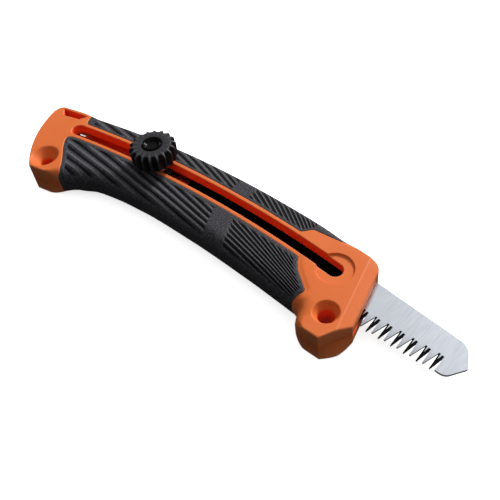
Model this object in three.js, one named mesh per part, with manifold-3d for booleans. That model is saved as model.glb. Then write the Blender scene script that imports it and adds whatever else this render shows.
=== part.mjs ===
// Retractable drywall saw: a curved two-shell handle with a saw blade that slides out of its nose.
//
// Millimetres. The saw lies on its side: +X runs to the nose and the blade's tip, +Y to the
// handle's back edge, and +Z up through the shell that has the slot. The origin is on the
// underside, below the front end of the slot's centreline.
import * as THREE from "three";
import { mergeVertices } from "three/addons/utils/BufferGeometryUtils.js";
import Module from "manifold-3d";

const wasm = await Module();
wasm.setup();

// ---- Driving dimensions -------------------------------------------------------------------

const THICKNESS = 16; // handle, across both shells
const MID = THICKNESS / 2; // parting plane, and the middle of the blade
const GAP = 0.3; // between pieces that touch
const SKIN = 1.6; // thickness of the soft grips over the shells
const ROLL = { least: 0.7, belly: 5.8, back: 2.3 }; // radius of the rolled edge, and what grips add to it
const CORE_ROLL = 0.3; // least radius of that edge on the shells' core, under the grips
const PAST = 1; // how far a cutter runs past the face that it cuts

// The slot is an arc whose front end is centred above the origin.
const SLOT = { radius: 600, centreX: -83, halfWidth: 3.6, rearX: -161.2, rim: 1.9 };
SLOT.centreY = -Math.sqrt(SLOT.radius ** 2 - SLOT.centreX ** 2);

const POCKET = { floor: 4, roof: 11 }; // the hollow between the shells, where the blade runs
const PASSAGE = { floor: 6.8, roof: 9.2 }; // its narrow way out through the nose
const SEAT = { radius: 8.1, depth: 1 }; // round recess that the thrust washer drops into

// Both faces slope down to the nose's front wall. The slope starts on a line through (x, y).
const BEVEL = { x: 10.6, y: 5.7, run: 5, drop: 2.2, sweep: THREE.MathUtils.degToRad(13) };

// The hang holes are countersunk from the slotted face (rim, sink) and a little from below.
const NOSE_HOLE = { x: 9.6, y: -20, bore: 3.45, rim: 5.65, sink: 3.4 };
const BUTT_HOLE = { x: -161, y: -22.8, bore: 3.3, rim: 7.2, sink: 4.8 };
const UNDER_SINK = 1.2;

const SCREW = { shank: 1.4, hole: 1.7, head: 2.6, recess: 2.9, headLow: 0.5, headHigh: 2.1, tip: 12.6 };
const SCREW_CROSS = { width: 0.7, length: 2.8, depth: 0.9 };
const SCREW_PLACES = [[2.4, -24.6], [-152.2, -25.2], [-174.5, -5]];

// Guide pads lie above and below the blade, just behind the nose's front wall.
const PAD = { lowX: 7.2, highX: 12.2, lowY: -12, highY: 8.4, thickness: 1.6 };

// The blade, in its own axes: u from the clamp bolt to the tip, v towards the blade's back.
const BLADE = { thickness: 1.2, back: 11.1, teeth: -11.25, tang: 5.5, heel: -7, lean: -3.477 };
const BLADE_ENDS = { corner: 2, tang: 14, shoulder: 17, back: 119 };
const BLADE_CHIN = { start: [164.2, -9.4], pull: [168.2, -10.1], end: [169.8, -7.7] };
const BLADE_TIP = [[173.5, -1.9], [173.5, -1.1]];
const BLADE_BROW = { start: [170, 4.8], pull: [168.2, 6.9], end: [165.4, 7.6] };
const TEETH = { pairPitch: 5.68, pairs: 25, start: 19.5, depth: 7.6, taperFrom: 134, taperSlope: 0.0465 };

// The clamp stands on the slot's centreline. Heights are those of the stack, from the floor up.
const CLAMP_X = -108.6;
const BOLT = { shank: 2.5, head: 4.4, low: 4.4, shoulder: 5.8, top: 25.4 };
const BOLT_HOLE = BOLT.shank + GAP;
const PLATE = { low: 6.1, high: 7.1, back: -7, front: 5.2, halfWidth: 5.2 };
const SLIDER = { low: 8.9, step: 10.7, high: 15.8, back: -8, front: 5.4, halfWidth: 5.8, neckBack: -2.25 };
const WASHER = { low: 16.3, high: 17.3, radius: 7.7 };
const SPRING = { low: 17.8, high: 18.4, radius: 4.8, split: 0.2 };
const KNOB = { low: 17.6, high: 27.8, root: 9.5, tip: 11.3, foot: 9.2, ribs: 18, turn: 7.2 };
const INSERT = { low: 19, high: 25.9, radius: 4.2 };
const CAP = { low: 26.3, high: 28.3, radius: 4.7, dish: 3.7, dishFloor: 26.9 };

const ROUND = 24; // sides of a round hole or shaft
const FINE = 40; // sides of a larger round

// ---- Solids -------------------------------------------------------------------------------

// A closed geometry as a solid that can be cut and joined.
function solid(geometry) {
  const bare = geometry.index ? geometry.toNonIndexed() : geometry.clone();
  bare.deleteAttribute("normal");
  bare.deleteAttribute("uv");
  const merged = mergeVertices(bare, 1e-4);
  const mesh = new wasm.Mesh({
    numProp: 3,
    vertProperties: new Float32Array(merged.attributes.position.array),
    triVerts: new Uint32Array(merged.index.array),
  });
  return new wasm.Manifold(mesh);
}

function geometryOf(shape) {
  const mesh = shape.getMesh();
  const geometry = new THREE.BufferGeometry();
  geometry.setAttribute("position", new THREE.BufferAttribute(new Float32Array(mesh.vertProperties), 3));
  geometry.setIndex(new THREE.BufferAttribute(new Uint32Array(mesh.triVerts), 1));
  geometry.computeVertexNormals();
  return geometry;
}

// A prism over a plan shape, from height low to height high.
function prism(shape, low, high) {
  const outline = Array.isArray(shape) ? new THREE.Shape(shape) : shape;
  const options = { depth: high - low, bevelEnabled: false, curveSegments: 8 };
  const geometry = new THREE.ExtrudeGeometry(outline, options);
  geometry.translate(0, 0, low);
  return solid(geometry);
}

// A solid of revolution about Z. Its profile holds [radius, height] pairs.
function turned(profile, sides = ROUND) {
  const geometry = new THREE.LatheGeometry(vectors(profile), sides);
  geometry.rotateX(Math.PI / 2);
  return solid(geometry);
}

function cylinder(x, y, low, high, radius, radiusHigh = radius, sides = ROUND) {
  const geometry = new THREE.CylinderGeometry(radiusHigh, radius, high - low, sides);
  geometry.rotateX(Math.PI / 2);
  geometry.translate(x, y, (low + high) / 2);
  return solid(geometry);
}

function union(shapes) {
  return shapes.reduce((joined, shape) => joined.add(shape));
}

// ---- Plan curves --------------------------------------------------------------------------

function vectors(pairs) {
  return pairs.map(([x, y]) => new THREE.Vector2(x, y));
}

// The angle, about the slot arc's centre, of the point above x on the slot's centreline.
function slotAngle(x) {
  return Math.acos((x - SLOT.centreX) / SLOT.radius);
}

// The point beside the slot at x, offset from its centreline towards the back.
function besideSlot(x, offset = 0) {
  const radius = SLOT.radius + offset;
  const angle = slotAngle(x);
  return new THREE.Vector2(
    SLOT.centreX + radius * Math.cos(angle),
    SLOT.centreY + radius * Math.sin(angle),
  );
}

function lineBesideSlot(fromX, toX, offset, steps = 12) {
  const points = [];
  for (let i = 0; i <= steps; i += 1) {
    points.push(besideSlot(THREE.MathUtils.lerp(fromX, toX, i / steps), offset));
  }
  return points;
}

function slotShape() {
  const front = slotAngle(0);
  const rear = slotAngle(SLOT.rearX);
  const rearEnd = besideSlot(SLOT.rearX);
  const shape = new THREE.Shape();
  shape.absarc(SLOT.centreX, SLOT.centreY, SLOT.radius + SLOT.halfWidth, front, rear, false);
  shape.absarc(rearEnd.x, rearEnd.y, SLOT.halfWidth, rear, rear + Math.PI, false);
  shape.absarc(SLOT.centreX, SLOT.centreY, SLOT.radius - SLOT.halfWidth, rear, front, true);
  shape.absarc(0, 0, SLOT.halfWidth, front + Math.PI, front + 2 * Math.PI, false);
  return shape;
}

// The handle's outline, anticlockwise from the top of the nose.
function handleOutline() {
  const outline = new THREE.Path();
  outline.moveTo(14.6, 9.9);
  outline.quadraticCurveTo(13.9, 12.8, 11, 13.2);
  outline.splineThru(vectors([
    [5, 14.0], [-3.5, 15.1], [-20, 17.6], [-50, 19.7], [-80, 20.3],
    [-107, 19.5], [-135, 16.9], [-164, 12.9], [-181.5, 9.8],
  ]));
  outline.quadraticCurveTo(-184.6, 9.2, -184.98, 4.45);
  outline.absarc(-126.1, 16, 60, THREE.MathUtils.degToRad(191.1), THREE.MathUtils.degToRad(233.1), false);
  outline.lineTo(-154.2, -30.8);
  outline.splineThru(vectors([
    [-147, -27.9], [-132.5, -20.5], [-122, -17.9], [-105, -16.4],
    [-90, -16.1], [-60, -17.2], [-30, -19.6], [-8, -22.0],
  ]));
  outline.quadraticCurveTo(-4.4, -22.3, -1.9, -23.9);
  outline.lineTo(-0.2, -27.6);
  outline.quadraticCurveTo(1.4, -31, 5.8, -31.5);
  outline.lineTo(14, -31.8);
  outline.lineTo(21.3, -18.8);
  const points = outline.getPoints(3);
  const closest = 0.4;
  return points.filter((point, i) => i === 0 || point.distanceTo(points[i - 1]) > closest);
}

// How wide the surface rolls over between face and wall: fully along the belly, less along the
// back, and hardly at the nose, the chin and the butt.
function edgeRoll({ x, y }) {
  const { smoothstep } = THREE.MathUtils;
  const belly = y < -10 ? smoothstep(x, -153, -142) * (1 - smoothstep(x, -6, 6)) : 0;
  const back = y > 9 ? smoothstep(x, -170, -158) * (1 - smoothstep(x, -8, 4)) : 0;
  return ROLL.least + ROLL.belly * belly + ROLL.back * back;
}

// The outline with each point moved inwards by its own distance.
function insetOutline(points, distanceOf) {
  return points.map((point, i) => {
    const before = points.at(i - 1);
    const after = points[(i + 1) % points.length];
    const normalIn = point.clone().sub(before).normalize().rotateAround(new THREE.Vector2(), Math.PI / 2);
    const normalOut = after.clone().sub(point).normalize().rotateAround(new THREE.Vector2(), Math.PI / 2);
    const mitre = normalIn.clone().add(normalOut).divideScalar(1 + normalIn.dot(normalOut));
    return point.clone().addScaledVector(mitre, distanceOf(point));
  });
}

// The soft grips' plan outlines, with the gap round them. They run out past the handle's walls.
const RIM_EDGE = SLOT.halfWidth + SLOT.rim;
const GRIP_ZONES = {
  back_grip: [
    ...lineBesideSlot(-159, -25, RIM_EDGE),
    ...vectors([[-22.3, 9.8], [-20, 12.3], [-6, 13.3], [-3.2, 14.4], [-3.2, 30], [-164.5, 30]]),
    ...vectors([[-163.8, 12.2], [-161.6, 7.3]]),
  ],
  belly_grip: [
    ...lineBesideSlot(-15.6, -159, -RIM_EDGE),
    ...vectors([[-161.6, -5.3], [-162.3, -7], [-151, -19.8], [-146.4, -25.8], [-146.4, -45]]),
    ...vectors([[-6, -45], [-6, -21.5], [-4.7, -18.6], [-3.4, -16.7], [-5, -15], [-12, -9.5]]),
  ],
};

// ---- Handle -------------------------------------------------------------------------------

// One half of the handle's solid shape, from height base out to its face at Z = 0 or THICKNESS.
// It is shrunk by inset at the wall and at the face.
function halfHandle(face, base, inset = 0, steps = 3) {
  const outline = handleOutline();
  const outwards = Math.sign(face - MID);
  const rings = [insetOutline(outline, () => inset).map(({ x, y }) => [x, y, base])];
  for (let step = 0; step <= steps; step += 1) {
    const turn = (step / steps) * (Math.PI / 2);
    const rollOf = (point) => Math.max(edgeRoll(point) - inset, CORE_ROLL);
    const ring = insetOutline(outline, (point) => inset + rollOf(point) * (1 - Math.cos(turn)));
    rings.push(ring.map(({ x, y }, i) => {
      const drop = inset + rollOf(outline[i]) * (1 - Math.sin(turn));
      return [x, y, face - outwards * drop];
    }));
  }
  const count = outline.length;
  const triangles = [];
  for (let ring = 0; ring < rings.length - 1; ring += 1) {
    for (let i = 0; i < count; i += 1) {
      const next = (i + 1) % count;
      const [a, b] = [ring * count + i, ring * count + next];
      triangles.push([a, b, b + count], [a, b + count, a + count]);
    }
  }
  const lid = (ring) => THREE.ShapeUtils.triangulateShape(vectors(rings[ring]), [])
    .map((triangle) => triangle.map((i) => ring * count + i));
  triangles.push(...lid(rings.length - 1));
  triangles.push(...lid(0).map(([a, b, c]) => [a, c, b]));
  const facing = outwards > 0 ? triangles : triangles.map(([a, b, c]) => [a, c, b]);
  const geometry = new THREE.BufferGeometry();
  geometry.setAttribute("position", new THREE.Float32BufferAttribute(rings.flat(2), 3));
  geometry.setIndex(facing.flat());
  return solid(geometry);
}

// What slopes a face down to the nose's front wall: a box whose inner side is the slope.
function noseBevel(face) {
  const outwards = Math.sign(face - MID);
  const size = 60;
  const lead = 2; // how far the box reaches back, outside the face
  const geometry = new THREE.BoxGeometry(size, size, size);
  geometry.translate(size / 2 - lead, 0, (outwards * size) / 2);
  geometry.rotateY(outwards * Math.atan2(BEVEL.drop, BEVEL.run));
  geometry.rotateZ(BEVEL.sweep);
  geometry.translate(BEVEL.x, BEVEL.y, face);
  return solid(geometry);
}

// A hang hole through both shells.
function hangHole({ x, y, bore, rim, sink }) {
  const slope = (rim - bore) / sink;
  return union([
    cylinder(x, y, -PAST, THICKNESS + PAST, bore),
    cylinder(x, y, -PAST, UNDER_SINK, bore + UNDER_SINK + PAST, bore),
    cylinder(x, y, THICKNESS - sink, THICKNESS + PAST, bore, rim + PAST * slope),
  ]);
}

// The hollow that the blade, slider and clamp plate sweep, with its way out through the nose.
function pocket() {
  const hollow = vectors([
    [6.6, 10.7], [-10, 12.6], [-30, 15], [-50, 16.4], [-83, 17.4], [-110, 16.3],
    [-140, 12.6], [-165, 9.4], [-168, 6], [-167, -6], [-150, -12.2],
    [-120, -12.6], [-90, -12.2], [-50, -13], [-14, -13.7], [6.6, -13.6],
  ]);
  const passage = vectors([
    [5, 10.8], [5, -13.5], [14, -13.9], [20.4, -18.2], [26, -19], [26, 8.3], [14, 9.5],
  ]);
  return union([
    prism(hollow, POCKET.floor, POCKET.roof),
    prism(passage, PASSAGE.floor, PASSAGE.roof),
  ]);
}

// The slanted lanyard window through both shells, open to the hollow.
function lanyardWindow() {
  const window = vectors([[-181.2, 8.3], [-177.5, 4.5], [-167.6, 6.6], [-165.2, 10.6]]);
  const link = vectors([[-180.4, 7.6], [-177.5, 4.6], [-166, 4.6], [-165, 9.3]]);
  return union([
    prism(window, -PAST, THICKNESS + PAST),
    prism(link, POCKET.floor, POCKET.roof),
  ]);
}

// The recesses for both guide pads.
function padRecesses() {
  const { lowX, highX, lowY, highY, thickness } = PAD;
  const recess = vectors([
    [lowX - GAP, lowY - GAP], [highX + GAP, lowY - GAP],
    [highX + GAP, highY + GAP], [lowX - GAP, highY + GAP],
  ]);
  const depth = thickness + 2 * GAP;
  return union([
    prism(recess, PASSAGE.roof - PAST, PASSAGE.roof + depth),
    prism(recess, PASSAGE.floor - depth, PASSAGE.floor + PAST),
  ]);
}

function screwHoles() {
  return union(SCREW_PLACES.map(([x, y]) => union([
    cylinder(x, y, -PAST, SCREW.tip + GAP, SCREW.hole),
    cylinder(x, y, -PAST, SCREW.headHigh + GAP, SCREW.recess),
  ])));
}

function shell(face) {
  const outwards = Math.sign(face - MID);
  const body = halfHandle(face, MID + outwards * (GAP / 2));
  const core = halfHandle(face, MID - outwards * PAST, SKIN + GAP);
  const gripSpaces = Object.values(GRIP_ZONES)
    .map((zone) => prism(zone, -PAST, THICKNESS + PAST).subtract(core));
  const cuts = [
    ...gripSpaces,
    noseBevel(face),
    hangHole(NOSE_HOLE),
    hangHole(BUTT_HOLE),
    pocket(),
    lanyardWindow(),
    padRecesses(),
    screwHoles(),
  ];
  return cuts.reduce((left, cut) => left.subtract(cut), body);
}

function topShell() {
  const slot = prism(slotShape(), MID, THICKNESS + PAST);
  const seat = cylinder(0, 0, THICKNESS - SEAT.depth, THICKNESS + PAST, SEAT.radius, SEAT.radius, FINE);
  return shell(THICKNESS).subtract(slot).subtract(seat);
}

function bottomShell() {
  return shell(0);
}

function grip(zone, face) {
  const outwards = Math.sign(face - MID);
  const body = halfHandle(face, MID + outwards * (GAP / 2));
  const core = halfHandle(face, MID - outwards * PAST, SKIN);
  const plan = insetOutline(zone, () => GAP);
  return body.intersect(prism(plan, -PAST, THICKNESS + PAST)).subtract(core);
}

function guidePad(low) {
  const { lowX, highX, lowY, highY, thickness } = PAD;
  const geometry = new THREE.BoxGeometry(highX - lowX, highY - lowY, thickness);
  geometry.translate((lowX + highX) / 2, (lowY + highY) / 2, low + thickness / 2);
  return solid(geometry);
}

// A pan-head screw, driven from the underside, with a cross recess in its head.
function shellScrew() {
  const { shank, head, headLow, headHigh, tip } = SCREW;
  const screw = turned([
    [0, headLow], [head - 0.5, headLow], [head, headLow + 0.5], [head, headHigh],
    [shank, headHigh], [shank, tip - 1.4], [0, tip],
  ]);
  const slot = (sizeX, sizeY) => {
    const geometry = new THREE.BoxGeometry(sizeX, sizeY, 2 * SCREW_CROSS.depth);
    geometry.translate(0, 0, headLow);
    return solid(geometry);
  };
  const { width, length } = SCREW_CROSS;
  return screw.subtract(slot(width, length)).subtract(slot(length, width));
}

// ---- Blade --------------------------------------------------------------------------------

// The line through the teeth's tips, which rises towards the blade's nose.
function toothLine(u) {
  return BLADE.teeth + TEETH.taperSlope * Math.max(0, u - TEETH.taperFrom);
}

// Teeth come in pairs that lean towards the handle: one narrow and deep, one wide and shallower.
function toothPoints() {
  const { pairPitch, pairs, start, depth } = TEETH;
  const points = [];
  for (let pair = 0; pair <= pairs; pair += 1) {
    const u = start + pair * pairPitch;
    const line = toothLine(u);
    points.push([u, line + depth], [u + 0.65, line], [u + 0.95, line], [u + 2.4, line + depth - 0.4]);
    if (pair < pairs) {
      points.push([u + 3.15, line + 0.7], [u + 3.5, line + 0.7]);
    }
  }
  return points;
}

// The blade's outline: the tang round the bolt's hole, then the teeth, the nose and the back.
function bladeShape() {
  const { tang, heel, back } = BLADE;
  const { corner } = BLADE_ENDS;
  const outline = new THREE.Shape();
  outline.moveTo(heel + corner, -tang);
  outline.lineTo(BLADE_ENDS.tang, -tang);
  outline.lineTo(BLADE_ENDS.shoulder, toothLine(0));
  for (const [u, v] of toothPoints()) {
    outline.lineTo(u, v);
  }
  outline.lineTo(...BLADE_CHIN.start);
  outline.quadraticCurveTo(...BLADE_CHIN.pull, ...BLADE_CHIN.end);
  for (const [u, v] of BLADE_TIP) {
    outline.lineTo(u, v);
  }
  outline.lineTo(...BLADE_BROW.start);
  outline.quadraticCurveTo(...BLADE_BROW.pull, ...BLADE_BROW.end);
  outline.lineTo(BLADE_ENDS.back, back);
  outline.lineTo(BLADE_ENDS.shoulder, back);
  outline.lineTo(BLADE_ENDS.tang, tang);
  outline.lineTo(heel + corner, tang);
  outline.lineTo(heel, tang - corner);
  outline.lineTo(heel, corner - tang);
  outline.holes.push(new THREE.Path().absarc(0, 0, BOLT_HOLE, 0, 2 * Math.PI, true));
  return outline;
}

function blade() {
  return prism(bladeShape(), MID - BLADE.thickness / 2, MID + BLADE.thickness / 2);
}

// ---- Clamp: everything stands on the bolt's axis ------------------------------------------

function boltHole(low, high) {
  return cylinder(0, 0, low - PAST, high + PAST, BOLT_HOLE);
}

function clampBolt() {
  const { shank, head, low, shoulder, top } = BOLT;
  return turned([
    [0, low], [head - 0.4, low], [head, low + 0.4], [head, shoulder],
    [shank, shoulder], [shank, top - 0.6], [shank - 0.6, top], [0, top],
  ]);
}

function plateOutline({ back, front, halfWidth }) {
  const corner = 1.5;
  return vectors([
    [back + corner, -halfWidth], [front - corner, -halfWidth], [front, corner - halfWidth],
    [front, halfWidth - corner], [front - corner, halfWidth], [back + corner, halfWidth],
    [back, halfWidth - corner], [back, corner - halfWidth],
  ]);
}

function clampPlate() {
  return prism(plateOutline(PLATE), PLATE.low, PLATE.high).subtract(boltHole(PLATE.low, PLATE.high));
}

// The slider's flange runs under the slot, and its neck stands up in the slot.
function slider() {
  const radius = SLOT.halfWidth - 0.35;
  const neck = new THREE.Shape();
  neck.absarc(0, 0, radius, -Math.PI / 2, Math.PI / 2, false);
  neck.absarc(SLIDER.neckBack, 0, radius, Math.PI / 2, (3 * Math.PI) / 2, false);
  return prism(plateOutline(SLIDER), SLIDER.low, SLIDER.step)
    .add(prism(neck, SLIDER.low + 0.5, SLIDER.high))
    .subtract(boltHole(SLIDER.low, SLIDER.high));
}

function thrustWasher() {
  const { low, high, radius } = WASHER;
  const section = [[BOLT_HOLE, low], [radius, low], [radius, high], [BOLT_HOLE, high], [BOLT_HOLE, low]];
  return turned(section, FINE);
}

function springWasher() {
  const { low, high, radius, split } = SPRING;
  const ring = new THREE.Shape();
  ring.absarc(0, 0, radius, split, 2 * Math.PI - split, false);
  ring.absarc(0, 0, BOLT_HOLE, 2 * Math.PI - split, split, true);
  return prism(ring, low, high);
}

// The knob: a barrel that narrows to its foot, with pointed ribs all round.
function knob() {
  const { low, high, root, tip, foot, ribs, turn } = KNOB;
  const points = [];
  for (let rib = 0; rib < ribs; rib += 1) {
    const angle = (2 * Math.PI * rib) / ribs + THREE.MathUtils.degToRad(turn);
    const half = Math.PI / ribs;
    points.push([tip * Math.cos(angle), tip * Math.sin(angle)]);
    points.push([root * Math.cos(angle + half), root * Math.sin(angle + half)]);
  }
  const barrel = turned([
    [0, low], [foot - 0.6, low], [foot, low + 0.8], [tip - 0.5, low + 5], [tip, high - 1.2],
    [tip, high - 0.6], [tip - 0.8, high], [0, high],
  ], FINE);
  return prism(vectors(points), low, high)
    .intersect(barrel)
    .subtract(cylinder(0, 0, low - PAST, INSERT.low - GAP, SPRING.radius + GAP))
    .subtract(cylinder(0, 0, low, CAP.low, INSERT.radius + GAP))
    .subtract(cylinder(0, 0, CAP.low - GAP, high + PAST, CAP.radius + GAP, CAP.radius + GAP, FINE));
}

function knobInsert() {
  const { low, high, radius } = INSERT;
  return turned([[BOLT_HOLE, low], [radius, low], [radius, high], [BOLT_HOLE, high], [BOLT_HOLE, low]]);
}

function knobCap() {
  const { low, high, radius, dish, dishFloor } = CAP;
  return turned([
    [0, low], [radius, low], [radius, high - 0.3], [radius - 0.3, high], [dish + 0.4, high],
    [dish, high - 0.4], [dish - 1, dishFloor], [0, dishFloor],
  ], FINE);
}

// ---- Assembly -----------------------------------------------------------------------------

function plastic(color, roughness = 0.45) {
  return new THREE.MeshStandardMaterial({ color, roughness, metalness: 0 });
}

function metal(color, roughness = 0.3) {
  return new THREE.MeshStandardMaterial({ color, roughness, metalness: 1 });
}

const orange = () => plastic(0xe8642a, 0.42);
const softBlack = () => plastic(0x2b2b2f, 0.8);
const hardBlack = () => plastic(0x1d1d20, 0.5);

function add(parent, name, shape, material) {
  const mesh = new THREE.Mesh(geometryOf(shape), material);
  mesh.name = name;
  parent.add(mesh);
  return mesh;
}

const saw = new THREE.Group();

add(saw, "top_shell", topShell(), orange());
add(saw, "bottom_shell", bottomShell(), orange());
for (const [name, zone] of Object.entries(GRIP_ZONES)) {
  add(saw, `top_${name}`, grip(zone, THICKNESS), softBlack());
  add(saw, `bottom_${name}`, grip(zone, 0), softBlack());
}
add(saw, "upper_guide_pad", guidePad(PASSAGE.roof + GAP), plastic(0xe6e6e0, 0.5));
add(saw, "lower_guide_pad", guidePad(PASSAGE.floor - GAP - PAD.thickness), plastic(0xe6e6e0, 0.5));
SCREW_PLACES.forEach(([x, y], i) => {
  const screw = add(saw, `shell_screw_${i + 1}`, shellScrew(), metal(0x9a9ca0, 0.4));
  screw.position.set(x, y, 0);
});

const clamp = new THREE.Group();
const clampPlace = besideSlot(CLAMP_X);
clamp.position.set(clampPlace.x, clampPlace.y, 0);
saw.add(clamp);

const bladeMesh = add(clamp, "blade", blade(), metal(0xc3c7cc, 0.32));
bladeMesh.rotation.z = THREE.MathUtils.degToRad(BLADE.lean);

// The slider and its plate turn with the slot; the rest of the clamp is round.
const slotTurn = slotAngle(CLAMP_X) - Math.PI / 2;
const sliderMesh = add(clamp, "slider", slider(), hardBlack());
sliderMesh.rotation.z = slotTurn;
const plateMesh = add(clamp, "clamp_plate", clampPlate(), metal(0xa8abae, 0.4));
plateMesh.rotation.z = slotTurn;
add(clamp, "clamp_bolt", clampBolt(), metal(0x8d9094, 0.35));
add(clamp, "thrust_washer", thrustWasher(), metal(0x9da0a3, 0.35));
add(clamp, "spring_washer", springWasher(), metal(0x7f8286, 0.35));
add(clamp, "knob", knob(), hardBlack());
add(clamp, "knob_insert", knobInsert(), metal(0xc79a4a, 0.35));
add(clamp, "knob_cap", knobCap(), plastic(0x0c0c0e, 0.15));

export default saw;
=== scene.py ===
"""The looks of a retractable drywall saw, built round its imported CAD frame.

Lengths are in millimetres, and each mesh is scaled to metres when it is made. +X runs to the
nose, +Y to the handle's back, and +Z up through the slotted half. A half of the handle is
made as a skin: a plan region with a height and an underside at each of its points. The lower
half is the same, turned over about the parting plane.
"""

import math

import bpy
import numpy as np
from mathutils import Matrix, Vector
from mathutils.geometry import delaunay_2d_cdt


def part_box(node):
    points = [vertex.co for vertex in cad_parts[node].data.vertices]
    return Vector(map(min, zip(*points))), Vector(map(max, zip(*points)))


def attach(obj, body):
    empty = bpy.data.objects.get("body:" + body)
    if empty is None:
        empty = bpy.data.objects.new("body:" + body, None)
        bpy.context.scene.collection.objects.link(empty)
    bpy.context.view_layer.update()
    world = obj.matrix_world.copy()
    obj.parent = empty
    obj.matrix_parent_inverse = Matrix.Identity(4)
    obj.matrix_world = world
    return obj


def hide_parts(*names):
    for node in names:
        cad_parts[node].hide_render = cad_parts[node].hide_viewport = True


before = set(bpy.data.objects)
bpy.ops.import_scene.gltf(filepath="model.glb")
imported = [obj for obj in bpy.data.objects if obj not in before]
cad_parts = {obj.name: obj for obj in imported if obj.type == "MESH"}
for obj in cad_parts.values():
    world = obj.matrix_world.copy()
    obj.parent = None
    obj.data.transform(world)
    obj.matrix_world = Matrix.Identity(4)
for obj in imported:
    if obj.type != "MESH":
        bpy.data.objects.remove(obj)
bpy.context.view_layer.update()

MM = 0.001
TOP = 16.0  # the slotted face
PARTING = 8.0  # the plane between the halves
SEAM = 8.05  # where the upper half ends, just above the parting plane

SLOT_RADIUS = 600.0
SLOT_X = -83.0
SLOT_Y = -math.sqrt(SLOT_RADIUS**2 - SLOT_X**2)
SLOT_HALF = 3.6
SLOT_REAR = -161.2
RIM = 1.9

SKIN = 1.6  # the grips' thickness
EDGE = 0.4  # the fillet on most edges
GAP = 0.02  # between the two lines that make a steep step
NOSE_SLOPE = {"x": 10.6, "y": 5.7, "sweep": math.radians(13), "rise": 2.2 / 5, "bend": 0.35}
SHOULDER = {"depth": 0.4, "near": 0.4, "width": 2.8, "from_x": -18, "to_x": -14}
CHIN_SWELL = {"start": (14.0, -31.8), "end": (21.3, -18.8), "out": 1.7, "fade": 5.0, "low": 2.5}
NOSE_HOLE = {"centre": (9.6, -20.0), "bore": 3.45, "rim": 5.65, "sink": 3.4}
BUTT_HOLE = {"centre": (-161.0, -22.8), "bore": 3.3, "rim": 7.2, "sink": 4.8}
UNDER_SINK = 1.2  # the hang holes' countersinks underneath
SEAT_RADIUS = 8.1
ROLL_WIDTH = {"least": 0.7, "belly": 5.8, "back": 2.3}
POCKET_CEILING = {"upper": 11.0, "lower": 12.0}
PASSAGE_CEILING = 9.2
PAD_CEILING = 11.4
CORE_GAP = 0.1  # between a grip and the shell's floor under it
EDGE_SHEEN_AND_WEAR = 0.8  # how far the outline's painted highlight and rubbed edge reach in
SCREWS = ((2.4, -24.6), (-152.2, -25.2), (-174.5, -5.0))


# ---- Plan curves ----------------------------------------------------------------------------


def arr(points):
    return np.array(points, float).reshape(-1, 2)


def smoothstep(x, low, high):
    t = np.clip((x - low) / (high - low), 0, 1)
    return t * t * (3 - 2 * t)


def bezier(a, b, c, steps=6):
    t = np.linspace(0, 1, steps + 1)[:, None]
    a, b, c = arr(a), arr(b), arr(c)
    return (1 - t) ** 2 * a + 2 * t * (1 - t) * b + t * t * c


def arc(centre, radius, start, end, steps):
    """An arc between two angles in degrees."""
    angle = np.radians(np.linspace(start, end, steps + 1))
    return arr(centre) + radius * np.stack([np.cos(angle), np.sin(angle)], 1)


def circle(centre, radius, steps=48):
    return arc(centre, radius, 0, 360, steps)[:-1]


def spline(points, step=1.2):
    """A uniform Catmull-Rom curve through the points."""
    p = arr(points)
    p = np.vstack([p[:1], p, p[-1:]])
    out = []
    for i in range(1, len(p) - 2):
        a, b, c, d = p[i - 1 : i + 3]
        n = max(2, int(np.linalg.norm(c - b) / step))
        t = (np.arange(n) / n)[:, None]
        v, w = (c - a) / 2, (d - b) / 2
        out.append((2 * b - 2 * c + v + w) * t**3 + (3 * c - 3 * b - 2 * v - w) * t**2 + v * t + b)
    return np.vstack([*out, p[-1:]])


def divided(line, step, closed=True):
    """The line with its long segments cut into shorter ones, and repeated points left out."""
    ends = np.roll(line, -1, 0) if closed else line[1:]
    out = []
    for a, b in zip(line, ends):
        length = np.linalg.norm(b - a)
        if length > 1e-3:
            n = max(1, math.ceil(length / step))
            out.append(a + (b - a) * (np.arange(n) / n)[:, None])
    if not closed:
        out.append(line[-1:])
    return np.vstack(out)


def inset(loop, distance):
    """The loop with each point moved inwards, or outwards where the distance is negative."""
    before = loop - np.roll(loop, 1, 0)
    after = np.roll(loop, -1, 0) - loop
    turned_in = []
    for d in (before, after):
        turned_in.append(np.stack([-d[:, 1], d[:, 0]], 1) / np.linalg.norm(d, axis=1)[:, None])
    cosine = (turned_in[0] * turned_in[1]).sum(1)
    mitre = (turned_in[0] + turned_in[1]) / np.maximum(1 + cosine, 0.35)[:, None]
    return loop + mitre * np.broadcast_to(distance, len(loop))[:, None]


def beside_slot(x, offset=0.0):
    """Points beside the slot, offset from its centreline towards the handle's back."""
    angle = np.arccos((np.asarray(x, float) - SLOT_X) / SLOT_RADIUS)
    radius = SLOT_RADIUS + offset
    return np.stack([SLOT_X + radius * np.cos(angle), SLOT_Y + radius * np.sin(angle)], -1)


def line_beside_slot(start, end, offset, step=3.0):
    return beside_slot(np.linspace(start, end, int(abs(end - start) / step) + 1), offset)


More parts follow.
